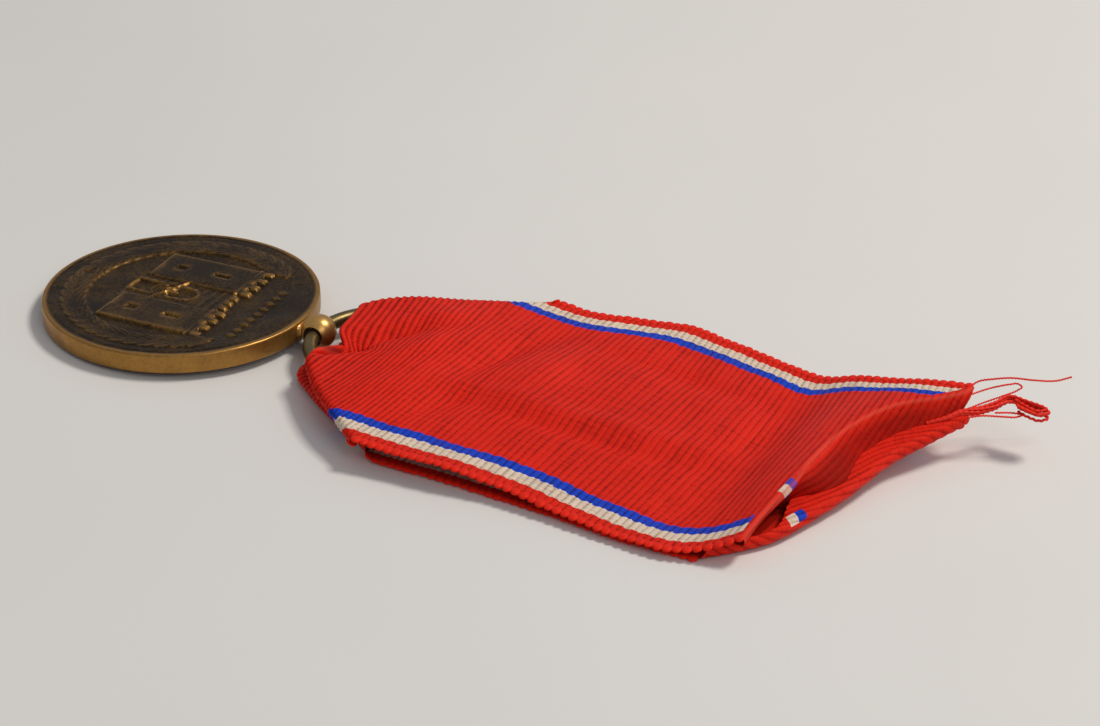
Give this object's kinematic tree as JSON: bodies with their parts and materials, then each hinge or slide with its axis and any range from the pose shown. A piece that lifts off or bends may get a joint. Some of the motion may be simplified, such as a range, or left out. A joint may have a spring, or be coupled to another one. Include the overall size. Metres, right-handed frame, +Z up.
{
  "type": "service medal on a ribbon",
  "caption": "Round bronze medal with a drilled ball and wire ring, on a wide edge-striped ribbon doubled through the ring, its ends turned in and fraying.",
  "frame": {"origin": "middle of the whole footprint, on the table that the medal lies on", "axes": "+X from the disc to the ribbon's ends, +Y across the ribbon to its far edge, +Z up from the table"},
  "size_m": [0.0972, 0.0366, 0.0069],
  "materials": {
    "struck_bronze": "dark brown patina, rubbed golden on the rim and the relief",
    "worn_bronze": "golden brown, polished by handling",
    "ring_wire": "drawn wire, dull greenish brown",
    "ribbon": "ribbed red silk with narrow blue, white and red edge stripes",
    "loose_thread": "twisted red silk thread"
  },
  "bodies": {
    "ribbon": {"ribbon_back_leaf": "ribbon", "back_hem": "ribbon", "front_hem": "ribbon", "ribbon_front_leaf": "ribbon", "long_loose_thread": "loose_thread", "hairpin_thread": "loose_thread", "frayed_bundle": "loose_thread", "low_loose_thread": "loose_thread"},
    "fold": {"ribbon_fold": "ribbon"},
    "ring": {"suspension_ring": "ring_wire"},
    "medal": {"medal_disc": "struck_bronze", "suspension_ball": "worn_bronze"}
  },
  "joints": [
    {"name": "ribbon_bend", "type": "hinge", "parent": "ribbon", "child": "fold", "pos_m": [-0.0057, -0.00026, 0.00245], "axis": [0, 1, 0], "range_deg": [-90, 90]},
    {"name": "ring_turn", "type": "hinge", "parent": "fold", "child": "ring", "pos_m": [-0.01279, -0.00026, 0.00221], "axis": [-0.0344, 0, 0.9994], "range_deg": [-25, 25]},
    {"name": "medal_swing", "type": "hinge", "parent": "ring", "child": "medal", "pos_m": [-0.01989, -0.00026, 0.00196], "axis": [0, 1, 0], "range_deg": [-100, 90]}
  ]
}
